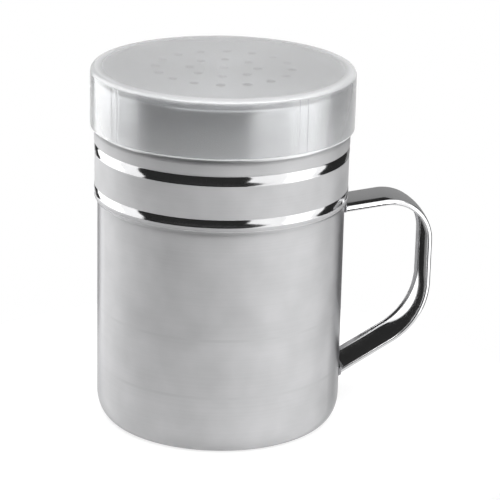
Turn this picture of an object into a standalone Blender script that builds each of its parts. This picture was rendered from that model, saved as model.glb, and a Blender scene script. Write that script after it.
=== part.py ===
"""Handled spice shaker: a drawn steel cup with a strap handle, a perforated
sleeve lid and a translucent snap cover.

Metres, +Z up. The origin is on the cup's axis at the underside of its base,
and the handle points along +X. Run with blender --background --python part.py
or from the text editor.
"""
import bmesh
import bpy
from math import cos, pi, radians, sin, tan
from mathutils import Matrix

# Driving sizes of the cup, a one-piece drawing in thin steel sheet
CUP_DIAMETER = 0.0700
CUP_WALL = 0.0006
CORNER_WIDTH = 0.0040
CORNER_HEIGHT = 0.0070
STOP_BEAD_FOOT = 0.0640
STOP_BEAD_HEIGHT = 0.0026
STOP_BEAD_REACH = 0.0009
NECK_HEIGHT = 0.0174
LIP_HEIGHT = 0.0020
LIP_FOLD = 0.0006

# Driving sizes of the lid, a sleeve that slips over the cup's neck
LID_HEIGHT = 0.0345
LID_WALL = 0.00055
LID_CLEARANCE = 0.0003
HEM_HEIGHT = 0.0025
HEM_REACH = 0.0003
GRIP_BEAD_FOOT = 0.0117
GRIP_BEAD_HEIGHT = 0.0026
GRIP_BEAD_REACH = 0.00025
COLLAR_HEIGHT = 0.0030
COLLAR_REACH = 0.00015
COLLAR_TAPER = 0.0012
CROWN_STEP = 0.0003
SHOULDER_RADIUS = 0.0035
HOLE_DIAMETER = 0.0028
HOLE_RINGS = ((0.0095, 8), (0.0190, 16))
HOLE_TURN = radians(78.0)

# Driving sizes of the snap cover, moulded in soft plastic
COVER_CLEARANCE = 0.0007
COVER_LIFT = 0.0007
COVER_WALL = 0.0009
COVER_ROOF = 0.0010
COVER_EDGE_RADIUS = 0.0015
COVER_INNER_RADIUS = 0.0008
RIB_COUNT = 4
RIB_WIDTH = 0.0028
RIB_TURN = radians(26.7)
RIB_BITE = 0.0004

# Driving sizes of the handle, a channel of strip steel whose long edges are
# turned in and flare. The drop is from the stop bead's foot to the top leg, and
# the rise is from the base to the low leg, both at the cup's wall
HANDLE_STAND = 0.0260
HANDLE_DROP = 0.0012
HANDLE_RISE = 0.0112
HANDLE_WIDTH = 0.0145
HANDLE_DEPTH = 0.0018
HANDLE_SHEET = 0.0007
HANDLE_EDGE_RADIUS = 0.0010
HANDLE_FLARE = radians(58.0)
TOP_BEND_RADIUS = 0.0130
TOP_LEG_SLOPE = radians(7.5)
LOW_BEND_RADIUS = 0.0215
LOW_LEG_SLOPE = radians(30.7)
WELD_THICKNESS = 0.0010
WELD_MARGIN = 0.0005

# Shared clearances and cutter sizes
SEAT_GAP = 0.0003
CUT_OVERRUN = 0.0050
MERGE_DISTANCE = 0.00001

# Counts of facets
TURN_STEPS = 64
HOLE_STEPS = 12
CORNER_STEPS = 5
BEAD_STEPS = 6
BEND_STEPS = 12
EDGE_STEPS = 4
EDGE_ANGLE = radians(35.0)

# Where a bead is widest, as a power of its height: above 1 leans it upwards
STOP_BEAD_LEAN = 1.6
EVEN_BEAD = 1.0

# Places worked out from the driving sizes
CUP_RADIUS = CUP_DIAMETER / 2
STOP_BEAD_TOP = STOP_BEAD_FOOT + STOP_BEAD_HEIGHT
CUP_HEIGHT = STOP_BEAD_TOP + NECK_HEIGHT
LID_FOOT = STOP_BEAD_TOP + SEAT_GAP
LID_TOP = LID_FOOT + LID_HEIGHT
LID_BORE = CUP_RADIUS + LID_CLEARANCE
BAND_RADIUS = LID_BORE + LID_WALL
CROWN_RADIUS = BAND_RADIUS - CROWN_STEP
GRIP_BEAD_TOP = LID_FOOT + GRIP_BEAD_FOOT + GRIP_BEAD_HEIGHT
COLLAR_TOP = GRIP_BEAD_TOP + COLLAR_HEIGHT
COVER_BORE = CROWN_RADIUS + COVER_CLEARANCE
COVER_RADIUS = COVER_BORE + COVER_WALL
COVER_TOP = LID_TOP + SEAT_GAP + COVER_ROOF
COVER_FOOT = COLLAR_TOP + COLLAR_TAPER + COVER_LIFT
WELD_INNER = CUP_RADIUS + SEAT_GAP
WELD_OUTER = WELD_INNER + WELD_THICKNESS
HANDLE_FOOT = WELD_OUTER + SEAT_GAP
HANDLE_REACH = CUP_RADIUS + HANDLE_STAND

TURN = 2 * pi
QUARTER = pi / 2
HALF_SHARE = 0.5


def clear_scene():
    """Remove every object, so that the script can be run again."""
    for old in list(bpy.data.objects):
        bpy.data.objects.remove(old, do_unlink=True)


def make_collection(name):
    """A new collection under the scene's own."""
    collection = bpy.data.collections.new(name)
    bpy.context.scene.collection.children.link(collection)
    return collection


def make_material(name, colour, roughness, metallic, alpha=1.0):
    """A Principled material with the piece's plain look."""
    material = bpy.data.materials.new(name)
    material.use_nodes = True
    shader = material.node_tree.nodes["Principled BSDF"]
    shader.inputs["Base Color"].default_value = (*colour, 1.0)
    shader.inputs["Roughness"].default_value = roughness
    shader.inputs["Metallic"].default_value = metallic
    shader.inputs["Alpha"].default_value = alpha
    return material


def add_object(name, data, collection, material=None):
    """An object for the given data, in the given collection."""
    obj = bpy.data.objects.new(name, data)
    collection.objects.link(obj)
    if material:
        data.materials.append(material)
    return obj


def hide_cutter(obj):
    """Mark an object as a cutter, which is not a piece."""
    obj.hide_render = True
    obj.display_type = "WIRE"
    return obj


def arc(centre_x, centre_z, radius_x, radius_z, start, end, steps):
    """Points along an elliptical arc in the XZ plane."""
    points = []
    for step in range(steps + 1):
        angle = start + (end - start) * step / steps
        points.append((centre_x + radius_x * cos(angle), centre_z + radius_z * sin(angle)))
    return points


def bead(radius, foot, height, reach, lean):
    """Points up a rounded rib that stands out of a turned wall."""
    points = []
    for step in range(BEAD_STEPS + 1):
        share = step / BEAD_STEPS
        swell = sin(pi * share ** lean) ** 2
        points.append((radius + reach * swell, foot + height * share))
    return points


def turned(name, profile, collection, material=None):
    """A solid of revolution from a profile that runs down its outer side."""
    mesh = bpy.data.meshes.new(name)
    vertices = [(x, 0.0, z) for x, z in profile]
    edges = [(index, index + 1) for index in range(len(vertices) - 1)]
    if profile[0][0] > 0:
        edges.append((len(vertices) - 1, 0))
    mesh.from_pydata(vertices, edges, [])
    obj = add_object(name, mesh, collection, material)
    screw = obj.modifiers.new("Turn", "SCREW")
    screw.axis = "Z"
    screw.angle = TURN
    screw.steps = TURN_STEPS
    screw.render_steps = TURN_STEPS
    screw.use_merge_vertices = True
    screw.merge_threshold = MERGE_DISTANCE
    screw.use_smooth_shade = True
    return obj


def add_boolean(obj, cutter, operation):
    """Cut, join or intersect an object with a hidden one."""
    modifier = obj.modifiers.new(cutter.name, "BOOLEAN")
    modifier.operation = operation
    modifier.solver = "EXACT"
    modifier.object = cutter


def cup_side(inset):
    """The cup's wall from base corner to mouth, inset from its outer face."""
    radius = CUP_RADIUS - inset
    corner = arc(CUP_RADIUS - CORNER_WIDTH, CORNER_HEIGHT, CORNER_WIDTH - inset,
                 CORNER_HEIGHT - inset, -QUARTER, 0.0, CORNER_STEPS)
    stop = bead(radius, STOP_BEAD_FOOT, STOP_BEAD_HEIGHT, STOP_BEAD_REACH, STOP_BEAD_LEAN)
    return corner + stop


def make_cup(collection, material):
    """The cup: a round-cornered base, a plain wall, a stop bead and a neck."""
    inner = cup_side(CUP_WALL)
    outer = cup_side(0.0)
    bore = CUP_RADIUS - CUP_WALL
    lip = bore - LIP_FOLD
    mouth = [
        (bore, CUP_HEIGHT - LIP_HEIGHT - LIP_FOLD),
        (lip, CUP_HEIGHT - LIP_HEIGHT),
        (lip, CUP_HEIGHT - LIP_FOLD),
    ]
    mouth += arc(lip + LIP_FOLD, CUP_HEIGHT - LIP_FOLD, LIP_FOLD, LIP_FOLD, pi, QUARTER, EDGE_STEPS)[1:]
    mouth += arc(bore, CUP_HEIGHT - CUP_WALL, CUP_WALL, CUP_WALL, QUARTER, 0.0, EDGE_STEPS)[1:]
    profile = [(0.0, CUP_WALL)] + inner + mouth + outer[::-1] + [(0.0, 0.0)]
    return turned("cup_body", profile, collection, material)


def lid_side(inset):
    """The lid's wall from crown to hem, inset from its outer face."""
    points = arc(CROWN_RADIUS - SHOULDER_RADIUS, LID_TOP - SHOULDER_RADIUS, SHOULDER_RADIUS - inset,
                 SHOULDER_RADIUS - inset, QUARTER, 0.0, CORNER_STEPS)
    points.append((CROWN_RADIUS - inset, COLLAR_TOP + COLLAR_TAPER))
    points.append((BAND_RADIUS + COLLAR_REACH - inset, COLLAR_TOP))
    points.append((BAND_RADIUS + COLLAR_REACH - inset, GRIP_BEAD_TOP + COLLAR_REACH))
    grip = bead(BAND_RADIUS - inset, LID_FOOT + GRIP_BEAD_FOOT, GRIP_BEAD_HEIGHT, GRIP_BEAD_REACH,
                EVEN_BEAD)
    return points + grip[::-1]


def hole_places():
    """The centres of the shaking holes: one in the middle and two rings."""
    places = [(0.0, 0.0)]
    for radius, count in HOLE_RINGS:
        for index in range(count):
            angle = HOLE_TURN + TURN * index / count
            places.append((radius * cos(angle), radius * sin(angle)))
    return places


def make_hole_cutter(collection):
    """All the shaking holes as one cutter, a drill through the lid's roof."""
    mesh = bpy.data.meshes.new("lid_holes")
    drill = bmesh.new()
    depth = LID_WALL + 2 * SEAT_GAP
    for x, y in hole_places():
        place = Matrix.Translation((x, y, LID_TOP - LID_WALL * HALF_SHARE))
        bmesh.ops.create_cone(drill, cap_ends=True, segments=HOLE_STEPS, radius1=HOLE_DIAMETER / 2,
                              radius2=HOLE_DIAMETER / 2, depth=depth, matrix=place)
    drill.to_mesh(mesh)
    drill.free()
    return hide_cutter(add_object("lid_holes", mesh, collection))


def make_lid(collection, cutters, material):
    """The lid: a perforated crown, a collar, a grip bead and a rolled hem."""
    hem = bead(BAND_RADIUS, LID_FOOT, HEM_HEIGHT, HEM_REACH, EVEN_BEAD)[::-1]
    outer = lid_side(0.0) + hem
    inner = lid_side(LID_WALL) + [(LID_BORE, LID_FOOT)]
    profile = [(0.0, LID_TOP)] + outer + inner[::-1] + [(0.0, LID_TOP - LID_WALL)]
    lid = turned("lid_cap", profile, collection, material)
    add_boolean(lid, make_hole_cutter(cutters), "DIFFERENCE")
    return lid


def make_rib(index, cutters):
    """One upright rib inside the cover, which grips the lid's crown."""
    inner = CROWN_RADIUS + SEAT_GAP
    outer = COVER_BORE + RIB_BITE
    foot = COVER_FOOT + COVER_WALL * HALF_SHARE
    top = COVER_TOP - COVER_ROOF * HALF_SHARE
    mesh = bpy.data.meshes.new("cover_rib")
    block = bmesh.new()
    size = Matrix.Diagonal((outer - inner, RIB_WIDTH, top - foot, 1.0))
    place = Matrix.Translation(((outer + inner) / 2, 0.0, (top + foot) / 2))
    bmesh.ops.create_cube(block, size=1.0, matrix=place @ size)
    block.to_mesh(mesh)
    block.free()
    rib = add_object("cover_rib_%d" % (index + 1), mesh, cutters)
    rib.rotation_euler.z = RIB_TURN + TURN * index / RIB_COUNT
    return hide_cutter(rib)


def make_cover(collection, cutters, material):
    """The snap cover: a flat roof, a plain skirt and ribs inside it."""
    edge = COVER_EDGE_RADIUS
    bend = COVER_INNER_RADIUS
    ceiling = COVER_TOP - COVER_ROOF
    outer = arc(COVER_RADIUS - edge, COVER_TOP - edge, edge, edge, QUARTER, 0.0, CORNER_STEPS)
    inner = arc(COVER_BORE - bend, ceiling - bend, bend, bend, 0.0, QUARTER, EDGE_STEPS)
    skirt = [(COVER_RADIUS, COVER_FOOT), (COVER_BORE, COVER_FOOT)]
    profile = [(0.0, COVER_TOP)] + outer + skirt + inner + [(0.0, ceiling)]
    cover = turned("snap_cover", profile, collection, material)
    for index in range(RIB_COUNT):
        add_boolean(cover, make_rib(index, cutters), "UNION")
    return cover


def top_leg_height(x):
    """The height of the top leg's outer face at a distance from the axis."""
    return STOP_BEAD_FOOT - HANDLE_DROP + (x - CUP_RADIUS) * tan(TOP_LEG_SLOPE)


def low_leg_height(x):
    """The height of the low leg's outer face at a distance from the axis."""
    return HANDLE_RISE + (x - CUP_RADIUS) * tan(LOW_LEG_SLOPE)


def handle_route():
    """The middle of the handle's outer face, from the top leg to the low leg."""
    top_x = HANDLE_REACH - TOP_BEND_RADIUS
    top_end = top_x - TOP_BEND_RADIUS * sin(TOP_LEG_SLOPE)
    top_z = top_leg_height(top_end) - TOP_BEND_RADIUS * cos(TOP_LEG_SLOPE)
    top = arc(top_x, top_z, TOP_BEND_RADIUS, TOP_BEND_RADIUS, QUARTER + TOP_LEG_SLOPE, 0.0, BEND_STEPS)
    low_x = HANDLE_REACH - LOW_BEND_RADIUS
    low_end = low_x + LOW_BEND_RADIUS * sin(LOW_LEG_SLOPE)
    low_z = low_leg_height(low_end) + LOW_BEND_RADIUS * cos(LOW_LEG_SLOPE)
    low = arc(low_x, low_z, LOW_BEND_RADIUS, LOW_BEND_RADIUS, 0.0, LOW_LEG_SLOPE - QUARTER, BEND_STEPS)
    root = WELD_INNER - HANDLE_DEPTH
    return [(WELD_INNER, top_leg_height(WELD_INNER))] + top + low + [(root, low_leg_height(root))]


def channel_section():
    """The handle's cross-section: a shallow channel with flared edges.

    X runs from the outer face towards the hand's gap and Y across the strip.
    The flare is the angle by which each edge is turned in from the face.
    """
    half = HANDLE_WIDTH / 2
    edge = HANDLE_EDGE_RADIUS
    fold = edge - HANDLE_SHEET
    lean = (HANDLE_DEPTH - edge * (1 - cos(HANDLE_FLARE))) / tan(HANDLE_FLARE)
    bend = half - lean - edge * sin(HANDLE_FLARE)
    outer = arc(edge, bend, edge, edge, pi, pi - HANDLE_FLARE, EDGE_STEPS)
    inner = arc(edge, bend, fold, fold, pi - HANDLE_FLARE, pi, EDGE_STEPS // 2)
    tip = [(HANDLE_DEPTH, half), (HANDLE_DEPTH, half - HANDLE_SHEET / sin(HANDLE_FLARE))]
    side = outer + tip + inner
    return side + [(x, -y) for x, y in side[::-1]]


def make_line(name, points, cyclic, collection):
    """A flat curve through the given points."""
    line = bpy.data.curves.new(name, "CURVE")
    line.dimensions = "2D"
    spline = line.splines.new("POLY")
    spline.points.add(len(points) - 1)
    for point, (x, y) in zip(spline.points, points):
        point.co = (x, y, 0.0, 1.0)
    spline.use_cyclic_u = cyclic
    return add_object(name, line, collection)


def make_handle_bar(collection, cutters, material):
    """The channel swept along the handle's route, still longer than it ends."""
    section = make_line("handle_section", channel_section(), True, cutters)
    route = make_line("handle_route", handle_route(), False, cutters)
    route.data.bevel_mode = "OBJECT"
    route.data.bevel_object = section
    route.data.use_fill_caps = True
    route.rotation_euler.x = QUARTER
    bpy.context.view_layer.update()
    swept = route.evaluated_get(bpy.context.evaluated_depsgraph_get())
    mesh = bpy.data.meshes.new_from_object(swept)
    mesh.name = "handle_strap"
    welded = bmesh.new()
    welded.from_mesh(mesh)
    bmesh.ops.remove_doubles(welded, verts=welded.verts, dist=MERGE_DISTANCE)
    bmesh.ops.recalc_face_normals(welded, faces=welded.faces)
    welded.to_mesh(mesh)
    welded.free()
    mesh.shade_smooth()
    mesh.set_sharp_from_angle(angle=EDGE_ANGLE)
    bar = add_object("handle_strap", mesh, collection, material)
    bar.matrix_world = route.matrix_world
    bpy.data.objects.remove(route, do_unlink=True)
    bpy.data.objects.remove(section, do_unlink=True)
    return bar


def make_handle(collection, cutters, material):
    """The handle, its legs trimmed to the curve of the cup."""
    bar = make_handle_bar(collection, cutters, material)
    low = -CUT_OVERRUN
    top = CUP_HEIGHT
    core_profile = [(0.0, top), (HANDLE_FOOT, top), (HANDLE_FOOT, low), (0.0, low)]
    core = hide_cutter(turned("handle_trim", core_profile, cutters))
    add_boolean(bar, core, "DIFFERENCE")
    return bar


def make_weld(name, height, slope, sleeve, collection, material):
    """A weld between one leg of the handle and the cup's wall."""
    mesh = bpy.data.meshes.new(name)
    block = bmesh.new()
    width = HANDLE_WIDTH + 2 * WELD_MARGIN
    depth = HANDLE_DEPTH + 2 * WELD_MARGIN
    length = 2 * HANDLE_DEPTH + 2 * CUT_OVERRUN
    bmesh.ops.create_cube(block, size=1.0, matrix=Matrix.Diagonal((length, width, depth, 1.0)))
    block.to_mesh(mesh)
    block.free()
    weld = add_object(name, mesh, collection, material)
    weld.location = (WELD_OUTER, 0.0, height)
    weld.rotation_euler.y = -slope
    corner = weld.modifiers.new("Corner", "BEVEL")
    corner.width = WELD_MARGIN
    corner.segments = EDGE_STEPS // 2
    add_boolean(weld, sleeve, "INTERSECT")
    return weld


def make_welds(collection, cutters, material):
    """Both welds, cut from the same sleeve around the cup."""
    low = -CUT_OVERRUN
    top = CUP_HEIGHT
    sleeve_profile = [(WELD_INNER, top), (WELD_OUTER, top), (WELD_OUTER, low), (WELD_INNER, low)]
    sleeve = hide_cutter(turned("weld_sleeve", sleeve_profile, cutters))
    top_middle = top_leg_height(WELD_OUTER) - HANDLE_DEPTH / 2 / cos(TOP_LEG_SLOPE)
    low_middle = low_leg_height(WELD_OUTER) + HANDLE_DEPTH / 2 / cos(LOW_LEG_SLOPE)
    make_weld("top_weld", top_middle, TOP_LEG_SLOPE, sleeve, collection, material)
    make_weld("low_weld", low_middle, LOW_LEG_SLOPE, sleeve, collection, material)


def build():
    """Make every piece of the shaker at rest, with the lid and cover on."""
    clear_scene()
    parts = make_collection("Spice shaker")
    cutters = make_collection("Cutters")
    steel = (0.56, 0.56, 0.57)
    satin = make_material("Satin steel sheet", steel, 0.32, 1.0)
    brushed = make_material("Brushed steel lid", steel, 0.28, 1.0)
    polished = make_material("Polished steel strip", steel, 0.08, 1.0)
    seam = make_material("Weld metal", (0.30, 0.30, 0.31), 0.40, 1.0)
    frosted = make_material("Frosted plastic", (0.85, 0.86, 0.87), 0.45, 0.0, 0.6)
    make_cup(parts, satin)
    make_handle(parts, cutters, polished)
    make_welds(parts, cutters, seam)
    make_lid(parts, cutters, brushed)
    make_cover(parts, cutters, frosted)


build()
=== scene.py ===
# %% [markdown]
# A handled spice shaker, dressed for the camera.
# The shaker is a drawn steel cup with a welded strap handle, a perforated sleeve lid and a frosted
# snap cover. Its working solids are already packed as a fixed frame, and this script makes the fine
# surfaces and finishes around them. Nearly every piece of the real thing is spun or bent sheet, so
# nearly every piece here is a thin outline that Blender's Spin or Extrude tool carries round or along.

# %% Load the frame
from math import atan, cos, pi, radians, sin, tan, tau

import bpy
from mathutils import Matrix, Vector


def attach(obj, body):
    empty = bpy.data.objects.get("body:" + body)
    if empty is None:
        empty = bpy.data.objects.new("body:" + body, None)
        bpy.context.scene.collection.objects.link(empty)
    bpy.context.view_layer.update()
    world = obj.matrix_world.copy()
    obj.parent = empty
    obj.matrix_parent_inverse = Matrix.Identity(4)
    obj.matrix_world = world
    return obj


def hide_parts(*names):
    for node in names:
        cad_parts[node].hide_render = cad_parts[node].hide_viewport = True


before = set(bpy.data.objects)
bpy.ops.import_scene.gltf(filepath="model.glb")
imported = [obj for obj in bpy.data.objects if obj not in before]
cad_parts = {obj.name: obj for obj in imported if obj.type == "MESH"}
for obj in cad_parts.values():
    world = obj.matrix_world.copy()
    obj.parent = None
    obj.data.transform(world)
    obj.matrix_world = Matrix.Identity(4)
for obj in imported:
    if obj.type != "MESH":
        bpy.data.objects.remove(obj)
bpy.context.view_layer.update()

MM = 0.001

# %% [markdown]
# The camera comes first, because every choice of finish is judged through it.
# The photograph was taken with a long lens from a little above, so that the shaker's circles show as
# flat ellipses. A circle's height over its width gives the camera's rise, and the way that the sides
# draw together towards the base gives its distance. The shaker stands left of the picture's middle,
# so the camera first looks at a point on the axis and is then turned a little away from it.

# %% Camera
PICTURE_SIDE = 500
SENSOR_WIDTH = 36.0
LENS = 172.92
CAMERA_DISTANCE = 685.4 * MM
CAMERA_RISE = radians(18.58)
CAMERA_AZIMUTH = radians(-100.0)
CAMERA_ROLL = radians(1.084)
AIM_HEIGHT = 50.2 * MM
AIM_PIXEL = (220.12, 245.31)
NEAREST = 10.0 * MM
FARTHEST = 20000.0 * MM

camera = bpy.data.objects.new("camera", bpy.data.cameras.new("camera"))
bpy.context.scene.collection.objects.link(camera)
bpy.context.scene.camera = camera
camera.data.sensor_width = SENSOR_WIDTH
camera.data.lens = LENS

aim = Vector((0, 0, AIM_HEIGHT))
outward = Vector((cos(CAMERA_RISE) * cos(CAMERA_AZIMUTH), cos(CAMERA_RISE) * sin(CAMERA_AZIMUTH),
                  sin(CAMERA_RISE)))
lens_pixels = PICTURE_SIDE * LENS / SENSOR_WIDTH
turn_aside = atan((PICTURE_SIDE / 2 - AIM_PIXEL[0]) / lens_pixels)
tip_over = atan((AIM_PIXEL[1] - PICTURE_SIDE / 2) / lens_pixels)
facing = (-outward).to_track_quat("-Z", "Y").to_matrix()
facing = facing @ Matrix.Rotation(-turn_aside, 3, "Y") @ Matrix.Rotation(tip_over, 3, "X")
facing = facing @ Matrix.Rotation(CAMERA_ROLL, 3, "Z")
camera.matrix_world = Matrix.Translation(aim + outward * CAMERA_DISTANCE) @ facing.to_4x4()
camera.data.clip_start = NEAREST
camera.data.clip_end = FARTHEST
print("camera at, mm:", [round(place / MM) for place in camera.matrix_world.translation])

# %% [markdown]
# An outline is the edge that a piece would show if it were sawn in half along the axis.
# Its straight stretches need only their ends, and its round stretches come from three small formulas:
# an arc for a bent corner, a swell for a bead that is rolled into the wall, and an ease for the place
# where one radius runs smoothly into another. Points are (radius, height) pairs in millimetres.

# %% Outline helpers
BEAD_STEPS = 24
EASE_STEPS = 10


def arc(centre, size, start, end, steps):
    """Points along an arc, in degrees: 0 is outwards and 90 is up. Size is (across, up)."""
    angles = [radians(start + (end - start) * step / steps) for step in range(steps + 1)]
    return [(centre[0] + size[0] * cos(angle), centre[1] + size[1] * sin(angle)) for angle in angles]


def swell(radius, foot, height, reach, lean=1.0, power=2.0, steps=BEAD_STEPS):
    """Points up a rounded bead. A lean above 1 moves its widest place upwards.

    A lower power makes it fuller, with its steepest places nearer to its two edges.
    """
    shares = [step / steps for step in range(steps)]
    points = [(radius + reach * sin(pi * share ** lean) ** power, foot + height * share)
              for share in shares]
    return points + [(radius, foot + height)]


def ease(low, high, steps=EASE_STEPS):
    """Points from one place to another along a soft S."""
    shares = [step / steps for step in range(steps + 1)]
    return [(low[0] + (high[0] - low[0]) * share ** 2 * (3 - 2 * share),
             low[1] + (high[1] - low[1]) * share) for share in shares]


# %% [markdown]
# Turning a piece, as on a spinning lathe.
# The real cup and lid are pressed from a disc of sheet and finished while they spin. A mesh can be
# made in the same spirit: a tiny plane is merged to one point, the point is extruded along the
# outline, and Spin carries the line round the axis. A Screw modifier would give the same shape, but
# Spin leaves a plain mesh that can be cut and joined straight away. Where Spin meets the axis it
# leaves doubled points, so they are merged before the faces are told which way is out. Spin turns
# clockwise about the axis that it is given, so the axis here points down.

# %% Turned pieces
TURN_STEPS = 256
DOUBLES_DISTANCE = 0.001 * MM
SMOOTH_ANGLE = radians(32)


def open_object(obj):
    """Enter edit mode on one object alone, with all of it selected."""
    bpy.ops.object.select_all(action="DESELECT")
    obj.select_set(True)
    bpy.context.view_layer.objects.active = obj
    bpy.ops.object.mode_set(mode="EDIT")
    bpy.ops.mesh.select_all(action="SELECT")


def close_skin(obj):
    """Merge doubled points, turn the faces outwards and shade the round places smooth."""
    open_object(obj)
    bpy.ops.mesh.remove_doubles(threshold=DOUBLES_DISTANCE)
    bpy.ops.mesh.normals_make_consistent(inside=False)
    bpy.ops.object.mode_set(mode="OBJECT")
    bpy.ops.object.shade_smooth_by_angle(angle=SMOOTH_ANGLE)


def draw_line(name, places):
    """A new mesh drawn from point to point by extrusion, left open in edit mode."""
    bpy.ops.object.select_all(action="DESELECT")
    bpy.ops.mesh.primitive_plane_add(size=MM)
    obj = bpy.context.object
    obj.name = obj.data.name = name
    bpy.ops.object.mode_set(mode="EDIT")
    bpy.ops.mesh.merge(type="CENTER")
    bpy.ops.transform.translate(value=places[0])
    for place, following in zip(places, places[1:]):
        bpy.ops.mesh.extrude_vertices_move(TRANSFORM_OT_translate={"value": following - place})
    bpy.ops.mesh.select_all(action="SELECT")
    return obj


def fill_line():
    """Close the drawn line, whose two ends meet, and fill it with one face."""
    bpy.ops.mesh.remove_doubles(threshold=DOUBLES_DISTANCE)
    bpy.ops.mesh.edge_face_add()


def turn(name, outline, start=0.0, angle=tau, steps=TURN_STEPS, filled=False):
    """Spin an outline of (radius, height) points in millimetres round the upright axis."""
    obj = draw_line(name, [Vector((radius * cos(start), radius * sin(start), height)) * MM
                           for radius, height in outline])
    if filled:
        fill_line()
    bpy.ops.mesh.spin(steps=steps, angle=angle, center=(0, 0, 0), axis=(0, 0, -1))
    bpy.ops.object.mode_set(mode="OBJECT")
    close_skin(obj)
    return obj


def describe(obj):
    """Print a finished piece's size and how many triangles it has."""
    triangles = sum(len(face.vertices) - 2 for face in obj.data.polygons)
    print(obj.name, [round(side / MM, 2) for side in obj.dimensions], "mm,", triangles, "triangles")


# %% [markdown]
# The cup.
# It is drawn from one disc of 0.6 mm stainless sheet: a flat base, a soft corner, a straight wall, a
# stop bead that carries the lid, and a narrow neck that the lid slides over, with its mouth folded in
# so that it can't cut a finger. The corner is taller than it is wide, because the sheet follows the
# punch there. The outline goes up the outer side, over the mouth and down the inner side.

# %% Cup outline
CUP_RADIUS = 35.0
CUP_WALL = 0.6
CORNER = (4.0, 7.0)
CORNER_STEPS = 20
BEAD_FOOT = 64.0
BEAD_HEIGHT = 2.6
BEAD_REACH = 0.9
BEAD_LEAN = 1.6
NECK_HEIGHT = 17.4
LIP_HEIGHT = 2.0
FOLD_STEPS = 10
BEAD_TOP = BEAD_FOOT + BEAD_HEIGHT
MOUTH = BEAD_TOP + NECK_HEIGHT


def cup_side(inset):
    """The wall from the base corner to the top of the stop bead."""
    corner = arc((CUP_RADIUS - CORNER[0], CORNER[1]), (CORNER[0] - inset, CORNER[1] - inset), -90, 0,
                 CORNER_STEPS)
    return corner + swell(CUP_RADIUS - inset, BEAD_FOOT, BEAD_HEIGHT, BEAD_REACH, BEAD_LEAN)


cup_bore = CUP_RADIUS - CUP_WALL
mouth = arc((cup_bore, MOUTH - CUP_WALL), (CUP_WALL, CUP_WALL), 0, 180, FOLD_STEPS)
fold_end = (cup_bore - CUP_WALL, MOUTH - LIP_HEIGHT)
fold_root = (cup_bore, MOUTH - LIP_HEIGHT - CUP_WALL)
cup_outline = [(0.0, 0.0)] + cup_side(0.0) + mouth + [fold_end, fold_root]
cup_outline += cup_side(CUP_WALL)[::-1] + [(0.0, CUP_WALL)]
print("cup outline has", len(cup_outline), "points")

# %% Cup
cup = turn("cup", cup_outline)
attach(cup, "cup")
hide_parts("cup_body")
describe(cup)

# %% [markdown]
# The lid.
# It is a second drawing that slips over the neck: a flat crown with 25 holes, a round shoulder, a
# collar that stops the snap cover, a shallow grip bead and a hem rolled round the open edge. The bead
# and the hem are polished, and they are the two bright stripes that go round the shaker. They stand
# proud by only a tenth of a millimetre: a mirror doubles every tilt, so that is enough to show. They
# are full in section, with their steepest places near their two edges. The hem's foot slants down
# and outwards, to follow the round shoulder of the cup's stop bead.

# %% Lid outline
SEAT_GAP = 0.3
LID_HEIGHT = 34.5
LID_WALL = 0.55
LID_CLEARANCE = 0.3
HEM_HEIGHT = 2.5
HEM_REACH = 0.1
HEM_INNER_DROP = 0.45
HEM_OUTER_DROP = 0.9
GRIP_FOOT = 11.7
GRIP_HEIGHT = 2.6
GRIP_REACH = 0.1
FULL_BEAD = 1.35
COLLAR_HEIGHT = 3.0
COLLAR_REACH = 0.15
COLLAR_EASE = 1.2
CROWN_STEP = 0.3
SHOULDER_RADIUS = 3.5

LID_FOOT = BEAD_TOP + SEAT_GAP
LID_TOP = LID_FOOT + LID_HEIGHT
LID_BORE = CUP_RADIUS + LID_CLEARANCE
BAND_RADIUS = LID_BORE + LID_WALL
CROWN_RADIUS = BAND_RADIUS - CROWN_STEP
GRIP_TOP = LID_FOOT + GRIP_FOOT + GRIP_HEIGHT
COLLAR_TOP = GRIP_TOP + COLLAR_HEIGHT


def lid_side(inset):
    """The wall from the foot of the grip bead up to the edge of the flat crown."""
    band = BAND_RADIUS - inset
    collar = band + COLLAR_REACH
    crown = CROWN_RADIUS - inset
    side = swell(band, LID_FOOT + GRIP_FOOT, GRIP_HEIGHT, GRIP_REACH, power=FULL_BEAD)
    side += ease((band, GRIP_TOP), (collar, GRIP_TOP + COLLAR_EASE / 2))[1:]
    side += ease((collar, COLLAR_TOP), (crown, COLLAR_TOP + COLLAR_EASE))
    side += arc((CROWN_RADIUS - SHOULDER_RADIUS, LID_TOP - SHOULDER_RADIUS),
                (SHOULDER_RADIUS - inset, SHOULDER_RADIUS - inset), 0, 90, CORNER_STEPS)
    return side


hem = swell(BAND_RADIUS, LID_FOOT, HEM_HEIGHT, HEM_REACH, power=FULL_BEAD)
lid_outline = [(0.0, LID_TOP - LID_WALL)] + lid_side(LID_WALL)[::-1]
lid_outline += [(LID_BORE, LID_FOOT - HEM_INNER_DROP), (BAND_RADIUS, LID_FOOT - HEM_OUTER_DROP)]
lid_outline += hem + lid_side(0.0) + [(0.0, LID_TOP)]
print("lid outline has", len(lid_outline), "points")

# %% [markdown]
# The shaking holes.
# They are punched through the crown in one blow: one in the middle, a ring of 8 and a ring of 16. A
# Boolean modifier cuts clean round holes into the turned crown, which is easier than weaving holes
# into its rings of faces. All the punches are one object, so the lid is cut once.

# %% Lid
HOLE_DIAMETER = 2.8
HOLE_RINGS = ((0.0, 1), (9.5, 8), (19.0, 16))
HOLE_TURN = radians(78)
HOLE_STEPS = 32
PUNCH_LENGTH = 3 * LID_WALL


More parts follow.
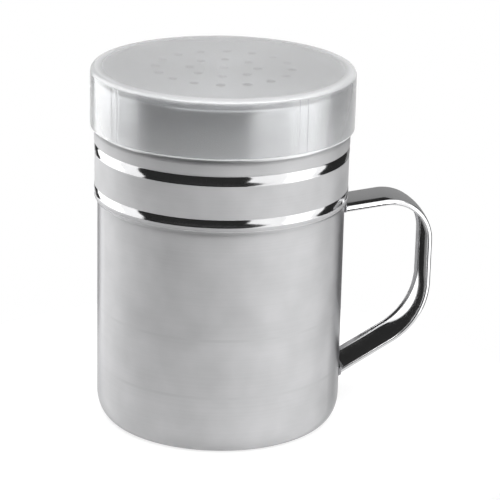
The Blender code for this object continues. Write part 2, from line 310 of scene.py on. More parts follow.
def drill(places, top, depth):
    """Upright cylinders at the given places, joined as one cutter."""
    bpy.ops.object.select_all(action="DESELECT")
    punches = []
    for x, y in places:
        bpy.ops.mesh.primitive_cylinder_add(vertices=HOLE_STEPS, radius=HOLE_DIAMETER / 2 * MM,
                                            depth=depth * MM, location=(x, y, top * MM))
        punches.append(bpy.context.object)
    for punch in punches:
        punch.select_set(True)
    bpy.ops.object.join()
    return bpy.context.object


def cut(obj, cutter, operation="DIFFERENCE"):
    """Apply a Boolean with a cutter and remove the cutter."""
    bpy.ops.object.select_all(action="DESELECT")
    obj.select_set(True)
    bpy.context.view_layer.objects.active = obj
    boolean = obj.modifiers.new("cut", "BOOLEAN")
    boolean.operation = operation
    boolean.object = cutter
    bpy.ops.object.modifier_apply(modifier=boolean.name)
    bpy.data.objects.remove(cutter, do_unlink=True)


hole_places = []
for ring_radius, count in HOLE_RINGS:
    for index in range(count):
        angle = HOLE_TURN + tau * index / count
        hole_places.append((ring_radius * MM * cos(angle), ring_radius * MM * sin(angle)))

lid = turn("lid", lid_outline)
cut(lid, drill(hole_places, LID_TOP - LID_WALL / 2, PUNCH_LENGTH))
close_skin(lid)
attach(lid, "lid")
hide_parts("lid_cap")
print(len(hole_places), "holes")
describe(lid)

# %% [markdown]
# The snap cover.
# It is moulded in soft polyethylene, about 1 mm thick, and it pushes over the crown to keep the
# spice dry. Four upright ribs inside its skirt grip the lid, and they show through the plastic as
# fine light lines. Each rib is a box with rounded edges, united with the skirt by a Boolean, because
# two see-through solids that only overlap would show a seam.

# %% Cover outline
COVER_CLEARANCE = 0.7
COVER_LIFT = 0.7
COVER_WALL = 0.9
COVER_ROOF = 1.0
COVER_EDGE = 1.5
COVER_BEND = 0.8
RIM_EDGE = 0.25

COVER_BORE = CROWN_RADIUS + COVER_CLEARANCE
COVER_RADIUS = COVER_BORE + COVER_WALL
CEILING = LID_TOP + SEAT_GAP
COVER_TOP = CEILING + COVER_ROOF
COVER_FOOT = COLLAR_TOP + COLLAR_EASE + COVER_LIFT
cover_outline = [(0.0, CEILING)]
cover_outline += arc((COVER_BORE - COVER_BEND, CEILING - COVER_BEND), (COVER_BEND, COVER_BEND), 90, 0,
                     FOLD_STEPS)
cover_outline += arc((COVER_BORE + RIM_EDGE, COVER_FOOT + RIM_EDGE), (RIM_EDGE, RIM_EDGE), 180, 270,
                     FOLD_STEPS)
cover_outline += arc((COVER_RADIUS - RIM_EDGE, COVER_FOOT + RIM_EDGE), (RIM_EDGE, RIM_EDGE), -90, 0,
                     FOLD_STEPS)
cover_outline += arc((COVER_RADIUS - COVER_EDGE, COVER_TOP - COVER_EDGE), (COVER_EDGE, COVER_EDGE), 0,
                     90, CORNER_STEPS)
cover_outline += [(0.0, COVER_TOP)]
print("cover is", 2 * COVER_RADIUS, "mm across and", round(COVER_TOP - COVER_FOOT, 2), "mm high")

# %% Cover
RIB_COUNT = 4
RIB_WIDTH = 2.8
RIB_TURN = radians(26.7)
RIB_BITE = 0.4
RIB_BEVEL = 0.15
RIB_BEVEL_STEPS = 3


def rib(angle):
    """One upright rib, a box with rounded edges, turned to its place round the axis."""
    inner = CROWN_RADIUS + SEAT_GAP
    outer = COVER_BORE + RIB_BITE
    foot = COVER_FOOT + COVER_WALL / 2
    top = COVER_TOP - COVER_ROOF / 2
    middle = (inner + outer) / 2
    bpy.ops.object.select_all(action="DESELECT")
    bpy.ops.mesh.primitive_cube_add(size=1, location=(middle * MM, 0, (foot + top) / 2 * MM),
                                    scale=((outer - inner) * MM, RIB_WIDTH * MM, (top - foot) * MM))
    obj = bpy.context.object
    bpy.ops.object.transform_apply(location=True, rotation=True, scale=True)
    open_object(obj)
    bpy.ops.mesh.bevel(offset=RIB_BEVEL * MM, segments=RIB_BEVEL_STEPS)
    bpy.ops.transform.rotate(value=-angle, orient_axis="Z", center_override=(0, 0, 0))
    bpy.ops.object.mode_set(mode="OBJECT")
    return obj


cover = turn("cover", cover_outline)
for index in range(RIB_COUNT):
    cut(cover, rib(RIB_TURN + tau * index / RIB_COUNT), "UNION")
close_skin(cover)
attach(cover, "cover")
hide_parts("snap_cover")
describe(cover)

# %% [markdown]
# The handle.
# It is a strip of polished steel, pressed into a shallow channel so that it is stiff and has no sharp
# edge, and bent twice. Its back is slightly crowned, which the fingers like and which lets it mirror
# a wider part of the room. Its long edges are turned in and flare, so that from above the far edge
# shows its whole inner side and the near one only its lip. A hand would make it in the same order:
# draw the channel's section at the end of the top leg, extrude it along the leg, Spin it round the
# first bend, extrude the grip, Spin it round the second bend, and extrude the low leg. Spin turns
# about the bend's own centre, and in a front view both bends go clockwise.

# %% Handle sizes
HANDLE_REACH = CUP_RADIUS + 26.0
HANDLE_DROP = 1.2
HANDLE_RISE = 11.2
HANDLE_WIDTH = 14.5
HANDLE_DEPTH = 1.8
HANDLE_SHEET = 0.7
HANDLE_EDGE = 1.0
HANDLE_FLARE = 58.0
CROWN_TILT = 7.0
CROWN_STEPS = 8
TOP_BEND_RADIUS = 13.0
TOP_SLOPE = radians(7.5)
LOW_BEND_RADIUS = 21.5
LOW_SLOPE = radians(30.7)
BEND_STEPS = 48
EDGE_STEPS = 12
HANDLE_TRIM = CUP_RADIUS + 0.15
TRIM_LENGTH = 2 * MOUTH

top_bend_x = HANDLE_REACH - TOP_BEND_RADIUS
top_leg_end = top_bend_x - TOP_BEND_RADIUS * sin(TOP_SLOPE)
top_leg_z = BEAD_FOOT - HANDLE_DROP + (top_leg_end - CUP_RADIUS) * tan(TOP_SLOPE)
top_bend_z = top_leg_z - TOP_BEND_RADIUS * cos(TOP_SLOPE)
low_bend_x = HANDLE_REACH - LOW_BEND_RADIUS
low_leg_end = low_bend_x + LOW_BEND_RADIUS * sin(LOW_SLOPE)
low_bend_z = HANDLE_RISE + (low_leg_end - CUP_RADIUS) * tan(LOW_SLOPE) + LOW_BEND_RADIUS * cos(LOW_SLOPE)
print("grip's straight stretch, mm:", round(top_bend_z - low_bend_z, 1))


# %% Handle section
def channel():
    """The section's closed outline: depth from the outer face, and place across the strip.

    From the middle outwards it is a wide arc, the crown, then a tight corner, then a straight wall
    that ends in a round tip. The crown's radius and the wall's length follow from the strip's width
    and depth.
    """
    half = HANDLE_WIDTH / 2
    tip = HANDLE_SHEET / 2
    fold = HANDLE_EDGE - HANDLE_SHEET
    tilt, flare = radians(CROWN_TILT), radians(HANDLE_FLARE)
    rise = HANDLE_DEPTH - tip * (1 + cos(flare)) - HANDLE_EDGE * (cos(tilt) - cos(flare))
    reach = half - tip * (1 - sin(flare)) - HANDLE_EDGE * (sin(flare) - sin(tilt))
    crown = (reach - rise / tan(flare)) / (sin(tilt) - (1 - cos(tilt)) / tan(flare))
    wall = (rise - crown * (1 - cos(tilt))) / sin(flare)
    inner_crown = crown - HANDLE_SHEET
    corner = (crown - (crown - HANDLE_EDGE) * cos(tilt), (crown - HANDLE_EDGE) * sin(tilt))
    end = (corner[0] - (HANDLE_EDGE - tip) * cos(flare) + wall * sin(flare),
           corner[1] + (HANDLE_EDGE - tip) * sin(flare) + wall * cos(flare))
    points = arc((crown, 0), (crown, crown), 180, 180 - CROWN_TILT, CROWN_STEPS)
    points += arc(corner, (HANDLE_EDGE, HANDLE_EDGE), 180 - CROWN_TILT, 180 - HANDLE_FLARE,
                  EDGE_STEPS)[1:]
    points += arc(end, (tip, tip), 180 - HANDLE_FLARE, -HANDLE_FLARE, EDGE_STEPS)
    points += arc(corner, (fold, fold), 180 - HANDLE_FLARE, 180 - CROWN_TILT, EDGE_STEPS // 3)
    points += arc((crown, 0), (inner_crown, inner_crown), 180 - CROWN_TILT, 180, CROWN_STEPS)[1:]
    print("crown's radius and wall, mm:", round(crown, 1), round(wall, 2))
    return points + [(depth, -across) for depth, across in points[-2:0:-1]]


def draw_section(name, points):
    """The section as a face at the root of the top leg, square to the leg, and the way to the bend."""
    along = Vector((cos(TOP_SLOPE), 0, sin(TOP_SLOPE)))
    inwards = Vector((sin(TOP_SLOPE), 0, -cos(TOP_SLOPE)))
    start_x = CUP_RADIUS - HANDLE_DEPTH
    start = Vector((start_x, 0, top_leg_z - (top_leg_end - start_x) * tan(TOP_SLOPE)))
    places = [(start + inwards * depth + Vector((0, across, 0))) * MM for depth, across in points]
    obj = draw_line(name, places + places[:1])
    fill_line()
    return obj, along, (top_leg_end - start_x) / cos(TOP_SLOPE)


# %% Handle
def carry(direction, length):
    """Extrude the selected end face straight on."""
    bpy.ops.mesh.extrude_region_move(TRANSFORM_OT_translate={"value": direction * length * MM})


def bend(centre_x, centre_z, angle):
    """Spin the selected end face clockwise round a bend's centre, seen from the front."""
    bpy.ops.mesh.spin(steps=BEND_STEPS, angle=angle, center=(centre_x * MM, 0, centre_z * MM),
                      axis=(0, -1, 0))


handle, along_top, top_length = draw_section("handle", channel())
carry(along_top, top_length)
bend(top_bend_x, top_bend_z, pi / 2 + TOP_SLOPE)
carry(Vector((0, 0, -1)), top_bend_z - low_bend_z)
bend(low_bend_x, low_bend_z, pi / 2 - LOW_SLOPE)
low_length = (low_leg_end - CUP_RADIUS + HANDLE_DEPTH) / cos(LOW_SLOPE)
carry(Vector((-cos(LOW_SLOPE), 0, -sin(LOW_SLOPE))), low_length)
bpy.ops.object.mode_set(mode="OBJECT")
close_skin(handle)
bpy.ops.object.select_all(action="DESELECT")
bpy.ops.mesh.primitive_cylinder_add(vertices=TURN_STEPS, radius=HANDLE_TRIM * MM, depth=TRIM_LENGTH * MM)
cut(handle, bpy.context.object)
close_skin(handle)
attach(handle, "cup")
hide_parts("handle_strap")
describe(handle)

# %% [markdown]
# The welds.
# Each leg is fused to the wall all round its end, which leaves a low, slightly lumpy pad of weld
# metal. The pad hugs the cup, so its upright section is drawn once and spun some 24 degrees about the
# cup's axis instead of being bent from a flat bar. A bevel softens the edges as flowing metal does.

# %% Welds
WELD_THICKNESS = 0.8
WELD_MARGIN = 0.15
WELD_BEVEL = 0.3
WELD_BEVEL_STEPS = 4
WELD_STEPS = 48


def weld(name, node, height, slope):
    """A rounded pad that hugs the cup's wall, centred on one leg."""
    half = (HANDLE_DEPTH / 2 + WELD_MARGIN) / cos(slope)
    inner = CUP_RADIUS - WELD_BEVEL / 2
    outer = CUP_RADIUS + WELD_THICKNESS
    climb = (outer - inner) * tan(slope)
    outline = [(inner, height - half), (outer, height - half + climb), (outer, height + half + climb),
               (inner, height + half), (inner, height - half)]
    reach = (HANDLE_WIDTH / 2 + WELD_MARGIN) / CUP_RADIUS
    obj = turn(name, outline, -reach, 2 * reach, WELD_STEPS, filled=True)
    rounding = obj.modifiers.new("rounding", "BEVEL")
    rounding.width = WELD_BEVEL * MM
    rounding.segments = WELD_BEVEL_STEPS
    rounding.limit_method = "ANGLE"
    bpy.ops.object.modifier_apply(modifier=rounding.name)
    close_skin(obj)
    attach(obj, "cup")
    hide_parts(node)
    describe(obj)
    return obj


top_weld_z = BEAD_FOOT - HANDLE_DROP - HANDLE_DEPTH / 2 / cos(TOP_SLOPE)
low_weld_z = HANDLE_RISE + HANDLE_DEPTH / 2 / cos(LOW_SLOPE)
welds = [weld("weld_top", "top_weld", top_weld_z, TOP_SLOPE),
         weld("weld_low", "low_weld", low_weld_z, LOW_SLOPE)]

# %% [markdown]
# Colours and nodes.
# A colour picker shows sRGB values, and a shader wants linear light, so one function turns a hex
# colour into the other. Another adds a node with its settings and links, which keeps each material
# as short as a recipe. A noise seldom strays far from 0.5, so spread stretches its middle part to the
# values that a surface needs, and relief turns a pattern into a bump.

# %% Material helpers
WHITE = "FFFFFF"
NOISE_RANGE = (0.3, 0.7)


def linear(hex_colour):
    """An sRGB hex colour as linear red, green, blue and alpha."""
    shares = [int(hex_colour[place:place + 2], 16) / 255 for place in (0, 2, 4)]
    return [share / 12.92 if share <= 0.04045 else ((share + 0.055) / 1.055) ** 2.4
            for share in shares] + [1.0]


def node(material, kind, inputs=None, **settings):
    """Add one node. An input that is given as a socket is linked, and any other is typed in."""
    tree = material.node_tree
    new = tree.nodes.new("ShaderNode" + kind)
    for name, value in settings.items():
        setattr(new, name, value)
    for name, value in (inputs or {}).items():
        if isinstance(value, bpy.types.NodeSocket):
            tree.links.new(value, new.inputs[name])
        else:
            new.inputs[name].default_value = value
    return new


def new_material(name):
    """An empty node material, with its output."""
    material = bpy.data.materials.new(name)
    material.use_nodes = True
    material.node_tree.nodes.clear()
    return material, material.node_tree.nodes.new("ShaderNodeOutputMaterial")


def show(owner, output, shader):
    """Join a shader to the output of a material or of the world."""
    owner.node_tree.links.new(shader.outputs[0], output.inputs["Surface"])


def finish_with(obj, material):
    """Give a piece one material all over."""
    obj.data.materials.clear()
    obj.data.materials.append(material)


def spread(material, noise, low, high, within=NOISE_RANGE):
    """A noise whose part between two values is stretched to run from low to high."""
    return node(material, "MapRange", {"Value": noise, "From Min": within[0], "From Max": within[1],
                                       "To Min": low, "To Max": high}).outputs[0]


def relief(material, pattern, strength, depth):
    """A bump that follows a pattern, with its depth in millimetres."""
    return node(material, "Bump", {"Strength": strength, "Distance": depth * MM,
                                   "Height": pattern}).outputs[0]


# %% [markdown]
# Many finishes here change with height, because the pieces were turned, drawn or polished round the
# upright axis. A mask that is 1 between two heights and fades out past them serves most of them, and
# the plastic adds ramps of its own.

# %% Height mask
FADE = 0.25


def zone(material, height, low, high, fade_below=FADE):
    """1 between two heights in millimetres, with a fade outside them."""
    rising = node(material, "MapRange", {"Value": height, "From Min": (low - fade_below) * MM,
                                         "From Max": low * MM}, interpolation_type="SMOOTHSTEP")
    falling = node(material, "MapRange", {"Value": height, "From Min": high * MM,
                                          "From Max": (high + FADE) * MM, "To Min": 1.0,
                                          "To Max": 0.0}, interpolation_type="SMOOTHSTEP")
    return node(material, "Math", {0: rising.outputs[0], 1: falling.outputs[0]},
                operation="MULTIPLY").outputs[0]


# %% [markdown]
# Satin stainless steel.
# The sheet is grade 304 stainless, whose reflectance is about 0.56. The cup and lid are rubbed with a
# fine abrasive while they turn, so the scratches run round them. A scratch scatters light across
# itself much more than along itself, so the room is smeared upright until only its left and right
# edges can be made out. The shader calls this anisotropy: the tangent runs round the axis, and a
# quarter turn of it puts the blur upright. The real scratches are about 0.05 mm apart, which no
# picture of this size can show, so they are drawn as streaks 0.4 mm high, which change how rough the
# surface is and give it a faint relief. Drawing also leaves faint cloudy patches, and two faint rings
# on the cup where the punch paused. Seen nearly edge on, any brushed surface turns glossier, because
# only the tops of its ridges are seen, and the cup's side then mirrors its handle more clearly. A
# facing mask on the cup does this, and it also darkens the steel's colour there: painted shade, for
# the shade that the ridges cast on each other.

# %% Satin steel
STEEL = "C4C4C5"
STREAK_HEIGHT = 0.4
STREAK_STRETCH = 0.004
STREAK_RELIEF = (0.06, 0.02)
CLOUD_SIZE = 9.0
CLOUD_SHADE = (0.94, 1.04)
ROUGHNESS_SPREAD = 0.05
ANISOTROPY = 0.65
UPRIGHT = 0.25
DRAW_RINGS = (17.0, 34.0)
DRAW_RING_HEIGHT = 0.3
DRAW_RING_FADE = 0.9
DRAW_RING_DIM = 0.07
DRAW_RING_PATCHES = (0.35, 0.65)
GLANCE_START = 0.60
GLANCE_END = 0.85
GLANCE_ROUGHNESS = 0.42
# Painted shade: the darker colour that the cup's steel turns to where it is seen edge on.
GLANCE_PAINTED_SHADE = "9C9C9E"


def satin_nodes(material, roughness):
    """Height, roughness, colour and bump for steel that was brushed as it turned."""
    place = node(material, "TexCoord").outputs["Object"]
    height = node(material, "SeparateXYZ", {"Vector": place}).outputs["Z"]
    per_streak = 1 / (STREAK_HEIGHT * MM)
    round_the_axis = STREAK_STRETCH * per_streak
    flat = node(material, "Mapping", {"Vector": place,
                                      "Scale": (round_the_axis, round_the_axis, per_streak)})
    streaks = node(material, "TexNoise", {"Vector": flat.outputs[0], "Scale": 1.0,
                                          "Detail": 3.0}).outputs["Fac"]
    clouds = node(material, "TexNoise", {"Vector": place, "Scale": 1 / (CLOUD_SIZE * MM),
                                         "Detail": 2.0}).outputs["Fac"]
    both = node(material, "Mix", {0: 0.5, 2: streaks, 3: clouds}).outputs[0]
    rough = spread(material, both, roughness - ROUGHNESS_SPREAD, roughness + ROUGHNESS_SPREAD)
    shade = spread(material, clouds, *CLOUD_SHADE)
    patchy = spread(material, clouds, 0.0, DRAW_RING_DIM, DRAW_RING_PATCHES)
    for ring in DRAW_RINGS:
        mark = zone(material, height, ring, ring + DRAW_RING_HEIGHT, DRAW_RING_FADE)
        dim = node(material, "Math", {0: mark, 1: patchy}, operation="MULTIPLY")
        shade = node(material, "Math", {0: shade, 1: dim.outputs[0]}, operation="SUBTRACT").outputs[0]
    colour = node(material, "MixRGB", {0: 1.0, 1: linear(STEEL), 2: shade}, blend_type="MULTIPLY")
    return height, rough, colour.outputs[0], relief(material, streaks, *STREAK_RELIEF)


def brushed_steel(material, output, colour, rough, bump):
    """The shader of steel that was brushed as it turned, with its blur upright."""
    around = node(material, "Tangent", direction_type="RADIAL", axis="Z")
    shader = node(material, "BsdfPrincipled", {
        "Base Color": colour, "Metallic": 1.0, "Roughness": rough, "Normal": bump,
        "Anisotropic": ANISOTROPY, "Anisotropic Rotation": UPRIGHT, "Tangent": around.outputs[0]})
    show(material, output, shader)


CUP_ROUGHNESS = 0.86


def make_cup_steel():
    """Satin steel all over, glossier where it is seen edge on, and darker there by painted shade."""
    material, output = new_material("Satin stainless steel")
    rough, colour, bump = satin_nodes(material, CUP_ROUGHNESS)[1:]
    tilted = node(material, "LayerWeight", {"Blend": 0.5}).outputs["Facing"]
    edge_on = node(material, "MapRange", {"Value": tilted, "From Min": GLANCE_START,
                                          "From Max": GLANCE_END},
                   interpolation_type="SMOOTHSTEP").outputs[0]
    glossy = node(material, "Mix", {0: edge_on, 2: rough, 3: GLANCE_ROUGHNESS})
    # Painted shade: the steel's colour darkens where the cup is seen edge on.
    darker = node(material, "MixRGB", {0: edge_on, 1: colour, 2: linear(GLANCE_PAINTED_SHADE)})
    brushed_steel(material, output, darker.outputs[0], glossy.outputs[0], bump)
    return material


finish_with(cup, make_cup_steel())

# %% [markdown]
# Satin steel with polished beads.
# After brushing, a buffing wheel touches only what stands proud, so the hem and the grip bead are
# mirror bright and the bands between them stay satin. The crown's wall is shinier than the satin too,
# most of all at the foot of the shoulder, and below that its polish fades over several millimetres.

# %% Lid steel
LID_ROUGHNESS = 0.88
POLISH_ROUGHNESS = 0.12
HEM_POLISHED = 0.85 * HEM_HEIGHT
CROWN_ROUGHNESS = 0.4
SHOULDER_ROUGHNESS = 0.28
SHOULDER_DULL = 2.0
SHOULDER_FADE = 8.0


def make_lid_steel():
    """Satin steel whose beads are polished."""
    material, output = new_material("Satin steel with polished beads")
    height, rough, colour, bump = satin_nodes(material, LID_ROUGHNESS)
    hem_zone = zone(material, height, LID_FOOT, LID_FOOT + HEM_POLISHED)
    grip_zone = zone(material, height, LID_FOOT + GRIP_FOOT, GRIP_TOP)
    polished = node(material, "Math", {0: hem_zone, 1: grip_zone}, operation="MAXIMUM").outputs[0]
    mixed = node(material, "Mix", {0: polished, 2: rough, 3: POLISH_ROUGHNESS})
    crown_zone = zone(material, height, COLLAR_TOP + COLLAR_EASE, LID_TOP - SHOULDER_DULL)
    mixed = node(material, "Mix", {0: crown_zone, 2: mixed.outputs[0], 3: CROWN_ROUGHNESS})
    shoulder_zone = zone(material, height, LID_TOP - SHOULDER_RADIUS, LID_TOP - SHOULDER_DULL,
                         SHOULDER_FADE)
    mixed = node(material, "Mix", {0: shoulder_zone, 2: mixed.outputs[0], 3: SHOULDER_ROUGHNESS})
    brushed_steel(material, output, colour, mixed.outputs[0], bump)
    return material


finish_with(lid, make_lid_steel())

# %% [markdown]
# Polished steel strip.
# The handle is buffed until it mirrors. Bending leaves it very slightly wavy, which bends its
# reflections, and use dulls the crests of the waves a little. One noise draws both.

# %% Handle steel
WAVE_SIZE = 9.0
WAVE_RELIEF = (0.12, 0.05)
HANDLE_ROUGHNESS = (0.05, 0.10)


def make_polished():
    """Mirror-polished strip with a faint waviness."""
    material, output = new_material("Mirror polished stainless steel")
    place = node(material, "TexCoord").outputs["Object"]
    waves = node(material, "TexNoise", {"Vector": place, "Scale": 1 / (WAVE_SIZE * MM),
                                        "Detail": 1.0}).outputs["Fac"]
    show(material, output, node(material, "BsdfPrincipled", {
        "Base Color": linear(STEEL), "Metallic": 1.0,
        "Roughness": spread(material, waves, *HANDLE_ROUGHNESS),
        "Normal": relief(material, waves, *WAVE_RELIEF)}))
    return material


finish_with(handle, make_polished())

# %% [markdown]
# Weld metal.
# A weld freezes in ripples about 0.6 mm apart and stays a little darker than the sheet, because it
# isn't polished afterwards.

# %% Weld finish
RIPPLE = 0.6
RIPPLE_RELIEF = (0.5, 0.12)
WELD_DARK = "77777A"
WELD_LIGHT = "A6A6A8"
WELD_ROUGHNESS = 0.35


def make_weld_metal():
    """Darker steel, mottled and rippled by one noise."""
    material, output = new_material("Cleaned weld metal")
    place = node(material, "TexCoord").outputs["Object"]
    ripples = node(material, "TexNoise", {"Vector": place, "Scale": 1 / (RIPPLE * MM),
                                          "Detail": 3.0}).outputs["Fac"]
    colour = node(material, "MixRGB", {0: ripples, 1: linear(WELD_DARK), 2: linear(WELD_LIGHT)})
    show(material, output, node(material, "BsdfPrincipled", {
        "Base Color": colour.outputs[0], "Metallic": 1.0, "Roughness": WELD_ROUGHNESS,
        "Normal": relief(material, ripples, *RIPPLE_RELIEF)}))
    return material


weld_metal = make_weld_metal()
for pad in welds:
    finish_with(pad, weld_metal)

# %% [markdown]
# Frosted polyethylene.
# Low-density polyethylene has an index of 1.51. It is clear enough to show the lid, but its tiny
# crystals scatter the light, and its moulded skin is dull, so what lies behind looks blurred and a
# little milky. A rough transmission gives the blur, and a share of plain white gives the milk. Less
# roughness is needed than one would think: the top is seen at a glancing angle, where light leaves
# the plastic so flat that a rougher skin would hide the lid's holes. Sheen, which is made for cloth,
# also serves for the haze that such a skin shows edge on. The skirt is rougher, because the mould
# is dull there, and it blurs the bright and dark patches of the lid's wall. Light that has run along
# inside the plastic comes out low on the skirt, round the top's edge and most of all at the rim,
# so these are milkier than the rest.

# %% Cover plastic
PLASTIC_INDEX = 1.51
PLASTIC = "F4F5F6"
CLEARNESS = 0.90
FOOT_CLEARNESS = 0.76
EDGE_CLEARNESS = 0.70
EDGE_MILK = 4.0
RIM_CLEARNESS = 0.3
RIM_DEPTH = 0.3
TOP_ROUGHNESS = 0.11
SKIRT_ROUGHNESS = 0.16
SKIN_SPREAD = 0.04
SKIN_GRAIN = 0.5
MOULD_WAVE = 12.0
MOULD_RELIEF = (0.05, 0.05)
HAZE = 0.6
HAZE_ROUGHNESS = 0.4


def skin_roughness(material, place, height):
    """How rough the moulded skin is: finely grained, and duller down the skirt than on top."""
    skin = node(material, "TexNoise", {"Vector": place, "Scale": 1 / (SKIN_GRAIN * MM),
                                       "Detail": 2.0}).outputs["Fac"]
    dull = node(material, "MapRange", {"Value": height, "From Min": (COVER_TOP - EDGE_MILK) * MM,
                                       "From Max": (COVER_TOP - COVER_EDGE) * MM,
                                       "To Min": SKIRT_ROUGHNESS, "To Max": TOP_ROUGHNESS})
    return node(material, "Math", {0: dull.outputs[0], 1: spread(material, skin, 0.0, SKIN_SPREAD)},
                operation="ADD").outputs[0]


def plastic_clearness(material, place, height):
    """How clear the plastic is: milkier down the skirt, round the top's edge and at the rim."""
    clear = node(material, "MapRange", {"Value": height, "From Min": COVER_FOOT * MM,
                                        "From Max": (COVER_TOP - COVER_EDGE) * MM,
                                        "To Min": FOOT_CLEARNESS, "To Max": CLEARNESS})
    level = node(material, "VectorMath", {0: place, 1: (1.0, 1.0, 0.0)}, operation="MULTIPLY")
    radius = node(material, "VectorMath", {0: level.outputs[0]}, operation="LENGTH").outputs["Value"]
    outer = node(material, "MapRange", {"Value": radius, "From Min": (COVER_RADIUS - EDGE_MILK) * MM,
                                        "From Max": (COVER_RADIUS - COVER_WALL) * MM},
                 interpolation_type="SMOOTHSTEP")
    upper = node(material, "MapRange", {"Value": height,
                                        "From Min": (COVER_TOP - COVER_EDGE) * MM,
                                        "From Max": (COVER_TOP - COVER_EDGE / 2) * MM},
                 interpolation_type="SMOOTHSTEP")
    edge = node(material, "Math", {0: outer.outputs[0], 1: upper.outputs[0]}, operation="MULTIPLY")
    clear = node(material, "Mix", {0: edge.outputs[0], 2: clear.outputs[0], 3: EDGE_CLEARNESS})
    rim = zone(material, height, COVER_FOOT, COVER_FOOT + RIM_DEPTH)
    return node(material, "Mix", {0: rim, 2: clear.outputs[0], 3: RIM_CLEARNESS}).outputs[0]


def make_plastic():
    """Milky, see-through plastic with a dull moulded skin."""
    material, output = new_material("Frosted polyethylene")
    place = node(material, "TexCoord").outputs["Object"]
    height = node(material, "SeparateXYZ", {"Vector": place}).outputs["Z"]
    waves = node(material, "TexNoise", {"Vector": place, "Scale": 1 / (MOULD_WAVE * MM)}).outputs["Fac"]
    show(material, output, node(material, "BsdfPrincipled", {
        "Base Color": linear(PLASTIC), "IOR": PLASTIC_INDEX,
        "Roughness": skin_roughness(material, place, height),
        "Transmission Weight": plastic_clearness(material, place, height),
        "Normal": relief(material, waves, *MOULD_RELIEF),
        "Sheen Weight": HAZE, "Sheen Roughness": HAZE_ROUGHNESS}))
    return material


finish_with(cover, make_plastic())

# %% [markdown]
# The floor.
# A small round table top, only as wide as the object needs, keeps the shadow. To the camera, and in
# the steel and the plastic, it glows almost white, so that it melts into the white room. Light Path
# says what kind of ray is asking, and one helper gathers the three kinds that show the background.

# %% Floor
FLOOR_RADIUS = 95.0
FLOOR_STEPS = 128
FLOOR_DROP = 0.05
FLOOR_GLOW = 0.70
FLOOR_ALBEDO = 0.35
PLAIN_PAPER = "E6E6E6"


def matt(owner, albedo):
    """A matt grey shader that gives back a share of the light."""
    return node(owner, "BsdfDiffuse", {"Color": [albedo] * 3 + [1.0]})


def shows_background(owner):
    """1 for a camera, glossy or transmission ray, and 0 for one that only carries light."""
    rays = node(owner, "LightPath").outputs
    mirrored = node(owner, "Math", {0: rays["Is Glossy Ray"], 1: rays["Is Transmission Ray"]},
                    operation="MAXIMUM")
    return node(owner, "Math", {0: rays["Is Camera Ray"], 1: mirrored.outputs[0]},
                operation="MAXIMUM").outputs[0]


bpy.ops.object.select_all(action="DESELECT")
bpy.ops.mesh.primitive_circle_add(vertices=FLOOR_STEPS, radius=FLOOR_RADIUS * MM, fill_type="NGON",
                                  location=(0, 0, -FLOOR_DROP * MM))
floor = bpy.context.object
floor.name = "floor"

paper, paper_output = new_material("White paper floor")
glow = node(paper, "Emission", {"Color": linear(WHITE), "Strength": FLOOR_GLOW})
lit = matt(paper, FLOOR_ALBEDO)
shown_paper = node(paper, "AddShader", {0: glow.outputs[0], 1: lit.outputs[0]})
plain_paper = node(paper, "BsdfDiffuse", {"Color": linear(PLAIN_PAPER)})
show(paper, paper_output, node(paper, "MixShader", {
    0: shows_background(paper), 1: plain_paper.outputs[0], 2: shown_paper.outputs[0]}))
finish_with(floor, paper)

# %% [markdown]
# The room.
# The room is white all round, to the camera and in the steel alike. The light that it casts is less
# than half of what it shows, because the lamps add theirs.

# %% White room
ROOM_LIGHT = 0.40

world = bpy.data.worlds.new("white room")
bpy.context.scene.world = world
world.use_nodes = True
world.node_tree.nodes.clear()
room_output = world.node_tree.nodes.new("ShaderNodeOutputWorld")
strength = node(world, "Mix", {0: shows_background(world), 2: ROOM_LIGHT, 3: 1.0})
show(world, room_output, node(world, "Background", {"Color": linear(WHITE),
                                                    "Strength": strength.outputs[0]}))

# %% [markdown]
# The lamps.
# Polished steel shows the room more than itself, so the studio is part of the finish. The stripes on
# the lid say what stood round the shaker: a large white box on each side. A bearing here is measured
# from the camera's own, and a bead that is turned by some angle mirrors what stands at twice that
# angle. The boxes reach below the table, because a wall that is seen from above mirrors what is low.
# Each is turned in its own plane, like a picture that hangs askew, which slants the ends of the white
# stripes. A third box hangs overhead, for the cover, and a fourth stands over the camera, too high
# for the stripes to mirror it, and lights the front of the satin.

# %% Lamps
STUDIO_RADIUS = 900.0
BOX_FOOT = -600.0
BOX_TOP = 1000.0
BOX_LIGHT = 1.6
LEFT_BOX = (-145.0, -79.0)
LEFT_ASKEW = 8.0
RIGHT_BOX = (30.0, 106.0)
RIGHT_ASKEW = -18.0
OVERHEAD_SIDE = 1600.0
OVERHEAD_HEIGHT = 1000.0
OVERHEAD_LIGHT = 1.1
FRONT_RISE = radians(57.0)
FRONT_DISTANCE = 1500.0
FRONT_SIZE = (2400.0, 750.0)
FRONT_LIGHT = 3.8


def studio_angle(bearing):
    """The angle round the axis of a bearing in degrees, where 0 is the camera's own."""
    return CAMERA_AZIMUTH + radians(bearing)


def softbox(name, size, place, turned, light):
    """A flat lamp of a given size in metres that shines evenly, and that the camera doesn't see."""
    lamp = bpy.data.lights.new(name, "AREA")
    lamp.shape = "RECTANGLE"
    lamp.size, lamp.size_y = size
    lamp.energy = light * pi * lamp.size * lamp.size_y
    obj = bpy.data.objects.new(name, lamp)
    bpy.context.scene.collection.objects.link(obj)
    obj.matrix_world = Matrix.Translation(place) @ turned.to_4x4()
    obj.visible_camera = False
    print(name, "is", [round(side, 2) for side in size], "m")


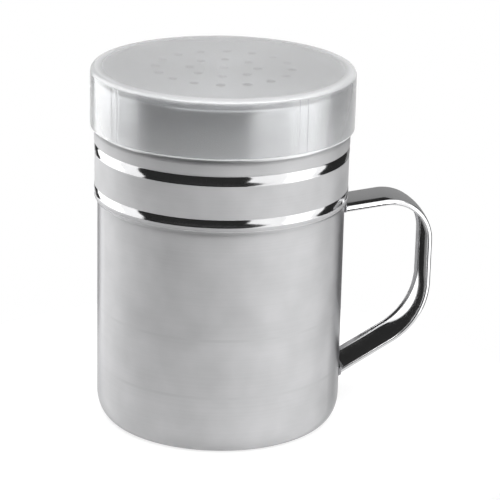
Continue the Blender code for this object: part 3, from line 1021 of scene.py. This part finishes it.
def side_box(name, bearings, askew):
    """A box that stands beside the shaker and fills the bearings from the first to the second."""
    low, high = bearings
    middle = studio_angle((low + high) / 2)
    distance = STUDIO_RADIUS * MM
    size = (2 * distance * tan(radians(high - low) / 2), (BOX_TOP - BOX_FOOT) * MM)
    place = Vector((distance * cos(middle), distance * sin(middle), (BOX_FOOT + BOX_TOP) / 2 * MM))
    turned = Matrix.Rotation(middle + pi / 2, 3, "Z") @ Matrix.Rotation(pi / 2, 3, "X")
    softbox(name, size, place, turned @ Matrix.Rotation(radians(askew), 3, "Z"), BOX_LIGHT)


side_box("left_box", LEFT_BOX, LEFT_ASKEW)
side_box("right_box", RIGHT_BOX, RIGHT_ASKEW)
softbox("overhead_box", (OVERHEAD_SIDE * MM, OVERHEAD_SIDE * MM),
        Vector((0, 0, OVERHEAD_HEIGHT * MM)), Matrix.Identity(3), OVERHEAD_LIGHT)
to_front = Vector((cos(FRONT_RISE) * cos(CAMERA_AZIMUTH), cos(FRONT_RISE) * sin(CAMERA_AZIMUTH),
                   sin(FRONT_RISE)))
softbox("front_box", (FRONT_SIZE[0] * MM, FRONT_SIZE[1] * MM), to_front * FRONT_DISTANCE * MM,
        (-to_front).to_track_quat("-Z", "Y").to_matrix(), FRONT_LIGHT)

# %% [markdown]
# The cards.
# Black cards keep the white room out of part of the steel, which gives polished metal its depth. One
# stands round the camera and another stands beside the handle. Behind the shaker a grey card dulls
# the handle's top, with a black one over it for the dark line along the strip's edge. The strip's
# inner side mirrors what stands behind and to the left: a tall black card there darkens its far
# side, a black card darkens its low leg, and a grey one lies below the level of the table. Between
# them the white room stays, for the bright patch in the low bend. The camera sees straight through
# the cards, so that they are in nobody's way when it looks from another side. Each row below is a
# card's name, its two bearings, its foot and top in millimetres, and how much light it gives back.

# %% Cards
BLACK_CARD = 0.04
GREY_CARD = 0.38
CARD_STEPS = 32
CARD_RADIUS = 1300.0
CARDS = (("front_card", -100.0, 60.0, -850.0, 1190.0, BLACK_CARD),
         ("side_card", 90.0, 150.0, -850.0, 900.0, BLACK_CARD),
         ("back_card", 150.0, 190.0, -700.0, 790.0, GREY_CARD),
         ("back_high_card", 160.0, 203.0, 790.0, 1500.0, BLACK_CARD),
         ("low_leg_card", 190.0, 203.0, 60.0, 790.0, BLACK_CARD),
         ("back_low_card", 196.0, 203.0, -700.0, -100.0, GREY_CARD),
         ("back_left_card", 203.0, 216.0, -700.0, 1000.0, BLACK_CARD))


def card(name, low, high, foot, top, albedo):
    """A card bent round the shaker, from one bearing to another and from its foot to its top."""
    obj = turn(name, [(CARD_RADIUS, foot), (CARD_RADIUS, top)], studio_angle(low),
               radians(high - low), CARD_STEPS)
    material, output = new_material(name)
    show(material, output, matt(material, albedo))
    finish_with(obj, material)
    obj.visible_camera = False


for row in CARDS:
    card(*row)

# %% [markdown]
# The colours.
# Blender's own default view softens bright places, and would turn the white room grey. The Standard
# view shows every colour as it was computed, so white stays white.

# %% Colour management
bpy.context.scene.view_settings.view_transform = "Standard"
